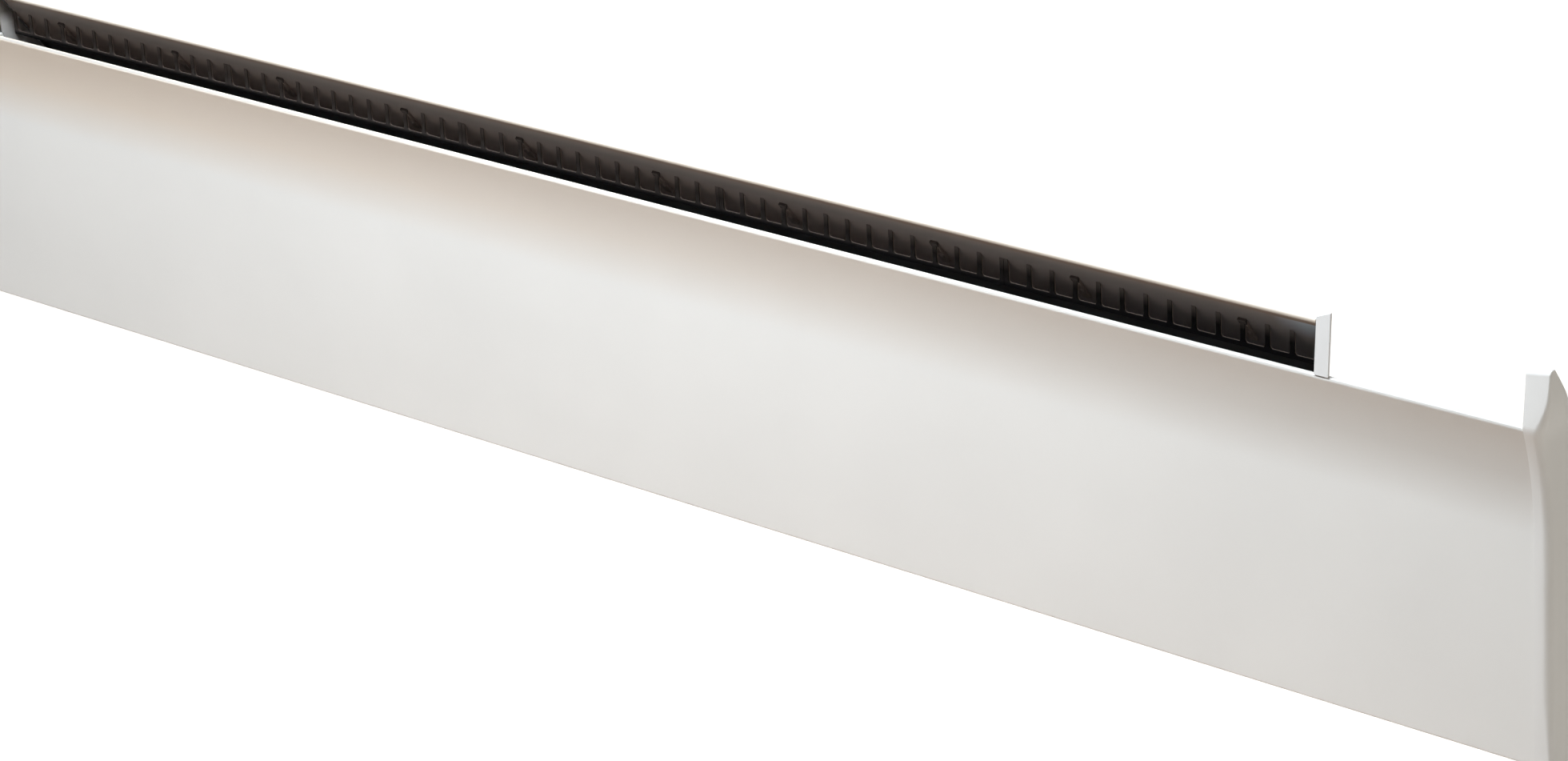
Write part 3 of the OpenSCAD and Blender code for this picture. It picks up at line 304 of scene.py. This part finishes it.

# Painted shade on the nose under the rim: a warm painted reflection at its top, going dark further down
NOSE_PAINTED_SHADE = (
    ((0.72, 0.66, 0.58), {"Z": (RIM_Z - 0.2 * MM, RIM_Z - 1.4 * MM), "Y": NOSE_Y}),
    ((0.42, 0.36, 0.30), {"Z": (RIM_Z - 1.4 * MM, RIM_Z - 2.4 * MM), "Y": NOSE_Y}),
    ((0.15, 0.11, 0.085), {"Z": (RIM_Z - 2.4 * MM, RIM_Z - 3.2 * MM), "Y": NOSE_Y}),
)
# The liner is a lighter brown behind the comb towards the left; painted shade darkens it further in, and
# painted bluish light lies on its right end
LINER_TONES_LIGHT_AND_SHADE = (
    (LIGHTER_BROWN_LINER, {"Y": (COMB_Y - 1 * MM, COMB_Y + 12 * MM), "X": (SLOT_END_X, SLOT_END_X - 0.32)}),
    # painted shade deep behind the comb
    (PAINTED_DEEP_SHADE, {"Y": (COMB_Y + 15 * MM, COMB_Y + 19 * MM)}),
    # painted bluish light at the right end
    (BLUISH_PAINTED_LIGHT, {"X": (SLOT_END_X - 32 * MM, SLOT_END_X - 12 * MM),
                    "Y": (COMB_Y + 4 * MM, COMB_Y - 6 * MM)}),
)
# The combs are blackest at the right, and painted shade blackens their foot; they are lighter at the
# top, and painted light lightens their tabs where the liner shades them
GRILLE_TONES_LIGHT_AND_SHADE = (
    (COMB_BLACK, {"X": (SLOT_END_X - 0.7, SLOT_END_X - 0.1)}),
    # painted shade: the combs' foot, under the lip
    (COMB_BLACK, {"Z": (LIP_Z + 1 * MM, LIP_Z - 1 * MM)}),
    ((0.12, 0.102, 0.094), {"Z": (LIP_Z + 7 * MM, LIP_Z + 14 * MM)}),
    # painted light: the tabs, where the liner shades them
    ((0.30, 0.24, 0.21), {"Y": (COMB_Y + 2.0 * MM, COMB_Y + 2.1 * MM)}),
)
# The panel's flare carries a warm painted reflection at the left and painted shade greying it at the
# right.
# The lip's bend carries painted shade, and a painted black shadow lies behind it.
PANEL_PAINTED_LIGHT_AND_SHADE = (
    ((0.87, 0.785, 0.69), {"Z": FLARE_Z, "X": (0.55, -0.55)}),
    ((0.69, 0.675, 0.65), {"Z": FLARE_Z, "X": (0.15, 0.65)}),
    ((0.50, 0.48, 0.46), {"Z": LIP_BEND_Z, "Y": LIP_BEND_Y}),
    ((0.01, 0.011, 0.016), {"Z": LIP_FOLD_Z, "Y": LIP_FOLD_Y}),
)
# Painted shade: the cheeks darken upwards, where the hood shades them
CHEEK_PAINTED_SHADE = (
    ((0.13, 0.12, 0.11), {"Z": (LIP_Z + 7 * MM, LIP_Z + 15 * MM)}),
)

MATERIALS = {
    "white_paint": powder_coat("white_paint", WHITE),
    "cap_plastic": moulded("cap_plastic", (0.82, 0.82, 0.81), 0.46),
    "deck_plastic": moulded("deck_plastic", (0.80, 0.80, 0.79), 0.5, 0.03, 1100),
    "dark_liner": powder_coat("dark_liner", LINER, 0.6, 0.02, 0.06, tone_spans=LINER_TONES_LIGHT_AND_SHADE),
    "black_paint": powder_coat("black_paint", COMB, 0.6, 0.02, specular=0.06, tone_spans=GRILLE_TONES_LIGHT_AND_SHADE),
    "inlet_paint": powder_coat("inlet_paint", (0.05, 0.05, 0.05), 0.55, 0.02),
    "galvanised": galvanised("galvanised", (0.62, 0.63, 0.65)),
    "spring_steel": drawn_metal("spring_steel", (0.52, 0.54, 0.57), 0.28, (60, 60, 1)),
    "zinc_screw": drawn_metal("zinc_screw", (0.66, 0.67, 0.70), 0.25, (1, 1, 1), 400),
    "fin_aluminium": drawn_metal("fin_aluminium", (0.80, 0.80, 0.82), 0.3),
    "element_steel": drawn_metal("element_steel", (0.42, 0.39, 0.36), 0.42),
    "ceramic_bush": unglazed("ceramic_bush", (0.85, 0.82, 0.74)),
    "phenolic": moulded("phenolic", (0.05, 0.035, 0.028), 0.4, 0.02, 900),
    "black_plastic": moulded("black_plastic", (0.025, 0.025, 0.027), 0.48, 0.02, 1300),
    "board": circuit("board", (0.02, 0.13, 0.05)),
    "knob_plastic": moulded("knob_plastic", (0.84, 0.84, 0.83), 0.38, 0.012),
    "rocker_red": gloss("rocker_red", (0.55, 0.02, 0.015)),
    "amber_lens": gloss("amber_lens", (0.9, 0.32, 0.05), 0.06, 0.6, 0.35),
    "block_plastic": moulded("block_plastic", (0.80, 0.78, 0.70), 0.42),
    "lead_brown": moulded("lead_brown", (0.16, 0.07, 0.03), 0.4, 0.01),
    "lead_blue": moulded("lead_blue", (0.03, 0.11, 0.38), 0.4, 0.01),
    "lead_earth": striped("lead_earth", (0.10, 0.32, 0.06), (0.75, 0.70, 0.05)),
    "rubber": moulded("rubber", (0.018, 0.018, 0.018), 0.75, 0.03, 800, 0.25),
}

# Pieces whose coat differs from the rest of their slot; the post's darker white and the cheeks' grey are
# painted shade on white paint
shaded_cheek_coat = powder_coat("shaded_cheek_coat", (0.42, 0.41, 0.40), 0.5, tone_spans=CHEEK_PAINTED_SHADE)
OWN_COAT = {
    "front_panel": powder_coat("panel_paint", WHITE, tone_spans=PANEL_PAINTED_LIGHT_AND_SHADE),
    "rear_casing": powder_coat("casing_paint", WHITE, tone_spans=NOSE_PAINTED_SHADE),
    "outlet_post": powder_coat("post_painted_shade", SHADED_POST_WHITE),
    "air_cheek_left": shaded_cheek_coat,
    "air_cheek_right": shaded_cheek_coat,
}

for part in frame["record"]["subparts"]:
    node = frame["nodes"][part["node"]]
    material = OWN_COAT.get(part["node"], MATERIALS[part["material_slot"]])
    if not node.material_slots:
        node.data.materials.append(material)
    for held in node.material_slots:
        held.material = material

# End caps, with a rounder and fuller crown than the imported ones. Their sizes are in
# millimetres, with z = 0 at the panel's foot.
PANEL_H, DEPTH = 193.0, 90.0
HUNG = 67.5            # height of the frame's origin above the panel's foot
FACE_FLARE_H, FACE_FLARE_R = 62.0, 200.0
FACE_LEAN = math.radians(1.4)
TOP, BROW_Y, BACK_Y = 223.0, -84.3, -18.0
CROWN_TOP = TOP + 0.5
HOOD_SLOPE = math.radians(54)
PROUD = 0.6            # how far a cap stands proud of the sheet
FOOT_BEVEL = 0.6       # bevel around the foot
FULLNESS = 2.7         # how much higher than the hood its sloping edge lies
CROWN_RISE = 2.2       # how much higher the crown's outer corner stands
CROWN_R = 3.0          # rounding of the crown's top, seen from the side
SHOULDER_R = 10.0      # rounding where the slope meets the back
CROWN_LEAN = 2.6       # how far the crown's front leans back
CAP_W, SPREAD = 9.6, 4.3
SPREAD_Z = (183.0, 212.0)
CAP_X = 600.1
CREASE = math.radians(40)

# Radius of the outer edge: at the foot, at the knee just above it, along the face and on top
FOOT_R, KNEE_R, EDGE_R, CROWN_EDGE_R = 1.0, 1.8, 5.0, 1.0
KNEE_Z, FULL_Z = 3.0, 40.0
EDGE_STEPS = 8

# Heights of the outline's points on the face, and the crown's, as degrees of its rounding
FACE_LEVELS = [-PROUD, FOOT_BEVEL, KNEE_Z, 20, FULL_Z, 62, 85, 108]
CROWN_ANGLES = (0, 12, 24, 36, 47, 57, 66, 74, 80)
SHOULDER_STEPS, SLOPE_STEPS, CHEST_STEPS = 6, 16, 14

FLARE_FOOT = PANEL_H - FACE_FLARE_H
FLARE_CZ = FLARE_FOOT - FACE_FLARE_R * math.sin(FACE_LEAN)
FLARE_CY = -DEPTH - FACE_FLARE_R * math.cos(math.asin((PANEL_H - FLARE_CZ) / FACE_FLARE_R))
FLARE_Y = FLARE_CY + FACE_FLARE_R * math.cos(FACE_LEAN)


def smooth(value, start, end):
    t = min(max((value - start) / (end - start), 0), 1)
    return t * t * (3 - 2 * t)


def up(z):
    """0 at the lip and below, 1 at the top of the crown."""
    return max(0, z - PANEL_H) / (CROWN_TOP - PANEL_H)


def arc_y(z, mid_y, mid_z, radius, way):
    """Y of a circle at a height, in front of its middle (way -1) or behind it (way 1)."""
    return mid_y + way * math.sqrt(radius ** 2 - (z - mid_z) ** 2)


def front_line(z):
    """The cap's front before the crown is rounded."""
    if z > PANEL_H:
        y = -DEPTH + CROWN_LEAN * up(z)
    elif z > FLARE_FOOT:
        y = arc_y(z, FLARE_CY, FLARE_CZ, FACE_FLARE_R, 1)
    else:
        y = FLARE_Y + (FLARE_FOOT - z) * math.tan(FACE_LEAN)
    return y - PROUD + max(0, FOOT_BEVEL - z)


def slope_z(y):
    return TOP + FULLNESS - (y - PROUD - BROW_Y) * math.tan(HOOD_SLOPE)


def slope_y(z):
    return BROW_Y + PROUD + (TOP + FULLNESS - z) / math.tan(HOOD_SLOPE)


# Middles of the two roundings, and the heights at which each meets the slope
CROWN_Y = front_line(TOP - 1) + CROWN_R
CROWN_Z = slope_z(CROWN_Y) - CROWN_R / math.cos(HOOD_SLOPE)
CROWN_END = CROWN_Z + CROWN_R * math.cos(HOOD_SLOPE)
SHOULDER_Y = BACK_Y + PROUD - SHOULDER_R
SHOULDER_Z = slope_z(BACK_Y + PROUD) - SHOULDER_R * math.tan((math.pi / 2 - HOOD_SLOPE) / 2)
SHOULDER_END = SHOULDER_Z + SHOULDER_R * math.cos(HOOD_SLOPE)


def front_y(z):
    return arc_y(z, CROWN_Y, CROWN_Z, CROWN_R, -1) if z > CROWN_Z else front_line(z)


def rear_y(z):
    if z > CROWN_END:
        return arc_y(z, CROWN_Y, CROWN_Z, CROWN_R, 1)
    if z > SHOULDER_END:
        return slope_y(z)
    if z > SHOULDER_Z:
        return arc_y(z, SHOULDER_Y, SHOULDER_Z, SHOULDER_R, 1)
    return BACK_Y + PROUD - max(0, FOOT_BEVEL - z)


def steps(start, end, count):
    return [start + (end - start) * i / count for i in range(count)]


def cap_levels():
    crown = [CROWN_Z + CROWN_R * math.sin(math.radians(a)) for a in CROWN_ANGLES]
    return (FACE_LEVELS + steps(SHOULDER_Z, SHOULDER_END, SHOULDER_STEPS)
            + steps(SHOULDER_END, PANEL_H, SLOPE_STEPS) + steps(PANEL_H, CROWN_Z, CHEST_STEPS) + crown)


def edge_r(z):
    if z > PANEL_H:
        return CROWN_EDGE_R + (EDGE_R - CROWN_EDGE_R) * max(0, 1 - up(z)) ** 2
    if z > KNEE_Z:
        return min(EDGE_R, KNEE_R + (z - KNEE_Z) / (FULL_Z - KNEE_Z) * (EDGE_R - KNEE_R))
    return FOOT_R + (z + PROUD) / (KNEE_Z + PROUD) * (KNEE_R - FOOT_R)


def crown_fall(z):
    """How far the crown falls from its outer corner to the panel."""
    return CROWN_RISE * smooth(z, PANEL_H, TOP)


def outward(points, i):
    """Normal of a closed outline at a point, lengthened at corners."""
    before, at, after = (Vector(points[k % len(points)]) for k in (i - 1, i, i + 1))
    a, b = (at - before).normalized(), (after - at).normalized()
    return Vector((-a.y - b.y, a.x + b.x)) / (1 + a.dot(b))


def cap_rings():
    """Outlines of a cap, from the panel outwards and around its outer edge."""
    levels = cap_levels()
    outline = [(front_y(z), z) for z in levels] + [(rear_y(z), z) for z in reversed(levels)]
    normals = [outward(outline, i) for i in range(len(outline))]
    rings = [[(0, y, z - crown_fall(z)) for y, z in outline]]
    for k in range(EDGE_STEPS + 1):
        angle = math.pi / 2 * k / EDGE_STEPS
        ring = []
        for (y, z), normal in zip(outline, normals):
            r = edge_r(z)
            width = CAP_W + SPREAD * smooth(z, *SPREAD_Z)
            inset = normal * r * (1 - math.cos(angle))
            x = width - r + r * math.sin(angle)
            ring.append((x, y - inset.x, z - inset.y - crown_fall(z) * (1 - x / width)))
        rings.append(ring)
    return rings


def end_cap(name, node, side):
    rings = cap_rings()
    count = len(rings[0])
    verts = [(side * (CAP_X + x) * MM, y * MM, (z - HUNG) * MM) for ring in rings for x, y, z in ring]
    faces = []
    for k in range(len(rings) - 1):
        for i in range(count):
            a, b = k * count + i, k * count + (i + 1) % count
            faces.append((a, b, b + count, a + count))
    last = (len(rings) - 1) * count
    for j in range(count // 2 - 1):
        faces.append((j + 1, j, count - 1 - j, count - 2 - j))
        faces.append((last + j, last + j + 1, last + count - 2 - j, last + count - 1 - j))
    mesh = bpy.data.meshes.new(name)
    mesh.from_pydata(verts, [], faces)
    shape = bmesh.new()
    shape.from_mesh(mesh)
    bmesh.ops.recalc_face_normals(shape, faces=shape.faces)
    shape.to_mesh(mesh)
    shape.free()
    mesh.shade_smooth()
    mesh.set_sharp_from_angle(angle=CREASE)
    piece = bpy.data.objects.new(name, mesh)
    scene.collection.objects.link(piece)
    mesh.materials.append(MATERIALS["cap_plastic"])
    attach(piece, "heater")
    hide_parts(node)


end_cap("moulded_cap_right", "end_cap_right", 1)
end_cap("moulded_cap_left", "end_cap_left", -1)

# Stage: a pale floor almost a metre below the heater. Its glow, and the pale world, are seen by
# the camera alone and light nothing.
FLOOR_Z = -0.9
FLOOR_HALF = 14.0
FLOOR_DARK, FLOOR_PALE = (0.86, 0.82, 0.765), (0.88, 0.84, 0.785)
FLOOR_GLOW = 0.6
GLOW_COLOUR = (1, 0.97, 0.93, 1)
WORLD = (0.14, 0.138, 0.133)
WORLD_SEEN = (0.62, 0.60, 0.57)


def pale_floor():
    mesh = bpy.data.meshes.new("floor")
    h = FLOOR_HALF
    corners = [(-h, -h, FLOOR_Z), (h, -h, FLOOR_Z), (h, h, FLOOR_Z), (-h, h, FLOOR_Z)]
    mesh.from_pydata(corners, [], [(0, 1, 2, 3)])
    plane = bpy.data.objects.new("floor", mesh)
    scene.collection.objects.link(plane)
    s = Shader("floor")
    s.set(Roughness=0.9, Specular_IOR_Level=0.1, Emission_Color=GLOW_COLOUR)
    seen = s.node("ShaderNodeLightPath").outputs["Is Camera Ray"]
    s.link(s.span(seen, 0.0, FLOOR_GLOW), s.bsdf.inputs["Emission Strength"])
    mesh.materials.append(s.done(s.ramp(s.noise(0.6, 2), [(0.3, FLOOR_DARK), (0.7, FLOOR_PALE)])))


def pale_world():
    world = bpy.data.worlds.new("studio")
    world.use_nodes = True
    scene.world = world
    tree = world.node_tree
    mix = tree.nodes.new("ShaderNodeMixShader")
    seen = tree.nodes.new("ShaderNodeLightPath").outputs["Is Camera Ray"]
    tree.links.new(seen, mix.inputs["Fac"])
    for socket, tone in zip(mix.inputs[1:], (WORLD, WORLD_SEEN)):
        background = tree.nodes.new("ShaderNodeBackground")
        background.inputs["Color"].default_value = (*tone, 1)
        tree.links.new(background.outputs["Background"], socket)
    tree.links.new(mix.outputs["Shader"], tree.nodes["World Output"].inputs["Surface"])


def area_light(name, at, aim, size, watts):
    """A softbox; watts are given for red, green and blue."""
    lamp = bpy.data.lights.new(name, "AREA")
    lamp.shape = "RECTANGLE"
    lamp.size, lamp.size_y = size
    lamp.energy = max(watts)
    lamp.color = [w / lamp.energy for w in watts]
    holder = bpy.data.objects.new(name, lamp)
    holder.location = at
    holder.rotation_euler = (Vector(aim) - Vector(at)).to_track_quat("-Z", "Y").to_euler()
    holder.visible_camera = False
    scene.collection.objects.link(holder)


# Each light's name, place, aim, size and watts
LIGHTS = (
    ("high", (-0.04, -0.62, 1.5), (-0.04, -0.3, 0), (0.9, 0.5), (20.4, 21.6, 22.5)),
    ("near", (-0.08, -0.5, 1.1), (-0.08, -0.3, 0), (0.6, 0.3), (13.2, 14.0, 14.8)),
    ("front", (-0.1, -1.5, -0.4), (-0.1, -0.09, -0.03), (0.8, 0.3), (1.5, 1.4, 1.3)),
    ("side", (2.4, -0.1, 0.6), (0.6, 0, 0), (1.0, 1.0), (9.9, 9.0, 7.8)),
    ("backdrop", (-1.9, 2.6, 1.5), (-1.9, 2.6, FLOOR_Z), (5, 5), (66, 70, 76)),
    ("bounce", (0.05, -0.42, -0.8), (0.05, -0.42, 0), (1.3, 0.3), (1.4, 0.5, 0)),
)

pale_floor()
pale_world()
for light in LIGHTS:
    area_light(*light)
